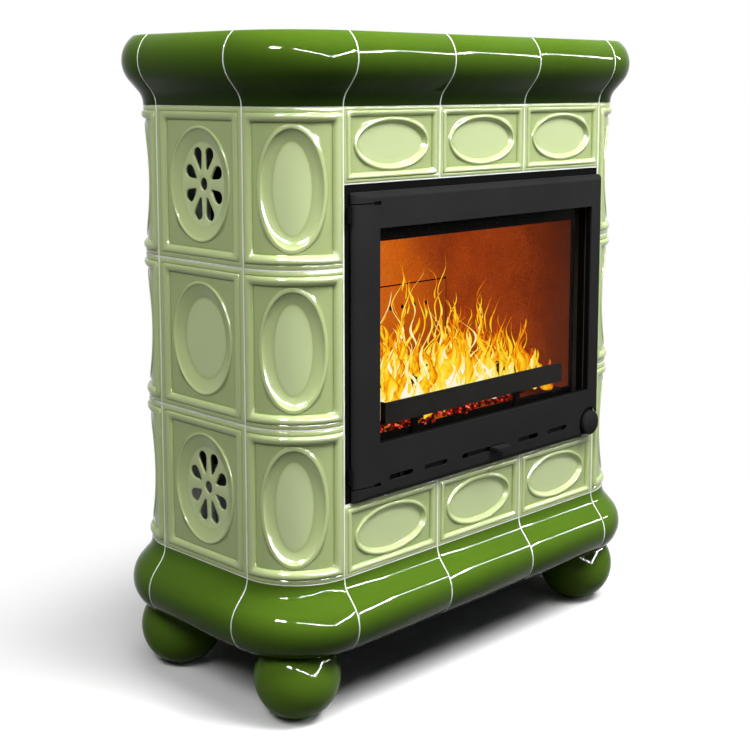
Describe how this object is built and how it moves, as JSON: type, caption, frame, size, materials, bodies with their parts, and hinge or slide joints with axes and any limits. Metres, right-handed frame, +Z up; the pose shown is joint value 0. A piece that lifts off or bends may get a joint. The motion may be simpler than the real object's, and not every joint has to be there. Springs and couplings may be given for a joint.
{
  "type": "tiled stove",
  "caption": "Free-standing tiled stove: glazed relief tiles between a bulging cornice and plinth on ball feet, round a steel fireplace insert with a glass door.",
  "frame": {"origin": "on the floor under the middle of the body", "axes": "+Z up, +X to the right seen from the front, +Y to the back; the glass door faces -Y"},
  "size_m": [0.9504, 0.5104, 1.102],
  "materials": {
    "pale_glaze": "gloss",
    "dark_glaze": "gloss",
    "joint_mortar": "matte",
    "black_steel": "matte",
    "grey_steel": "plain sheet",
    "firebrick": "matte",
    "cast_iron": "as cast",
    "stove_glass": "clear glass ceramic",
    "seal_rope": "woven glass fibre"
  },
  "bodies": {
    "stove": {"ash_pan": "grey_steel", "ash_pan_front": "grey_steel", "ball_feet": "dark_glaze", "base_plate": "black_steel", "corner_tiles_front_left": "pale_glaze", "corner_tiles_front_right": "pale_glaze", "corner_tiles_rear_left": "pale_glaze", "corner_tiles_rear_right": "pale_glaze", "corner_uprights": "grey_steel", "cornice_corners": "dark_glaze", "cornice_front": "dark_glaze", "cornice_left": "dark_glaze", "cornice_rear": "dark_glaze", "cornice_right": "dark_glaze", "fire_box": "black_steel", "front_frame": "black_steel", "grate": "cast_iron", "hinge_brackets": "black_steel", "insert_stand": "grey_steel", "joint_filler": "joint_mortar", "liner_floor": "firebrick", "liner_left": "firebrick", "liner_rear_lower": "firebrick", "liner_rear_upper": "firebrick", "liner_right": "firebrick", "log_retainer": "black_steel", "plinth_corners": "dark_glaze", "plinth_front": "dark_glaze", "plinth_left": "dark_glaze", "plinth_rear": "dark_glaze", "plinth_right": "dark_glaze", "rear_panel": "grey_steel", "retainer_supports": "black_steel", "smoke_baffle": "firebrick", "strip_tiles_lower": "pale_glaze", "strip_tiles_upper": "pale_glaze", "tile_left_lower_vent": "pale_glaze", "tile_left_middle_plain": "pale_glaze", "tile_left_upper_vent": "pale_glaze", "tile_right_lower_vent": "pale_glaze", "tile_right_middle_plain": "pale_glaze", "tile_right_upper_vent": "pale_glaze", "top_plate": "black_steel"},
    "door": {"door_cover": "black_steel", "door_frame": "black_steel", "door_glass": "stove_glass", "glass_gasket": "seal_rope", "glass_clips": "grey_steel", "door_seal": "seal_rope"},
    "air_shutter": {"air_shutter": "black_steel"},
    "latch": {"latch_knob": "black_steel", "latch_spindle": "grey_steel"}
  },
  "joints": [
    {"name": "door_hinge", "type": "hinge", "parent": "stove", "child": "door", "pos_m": [-0.322, -0.225, 0.6], "axis": [0, 0, -1], "range_deg": [0, 95]},
    {"name": "latch_turn", "type": "hinge", "parent": "door", "child": "latch", "pos_m": [0.302, -0.23, 0.383], "axis": [0, -1, 0], "range_deg": [-90, 0]},
    {"name": "shutter_slide", "type": "slide", "parent": "door", "child": "air_shutter", "axis": [1, 0, 0], "range_m": [-0.056, 0]}
  ]
}
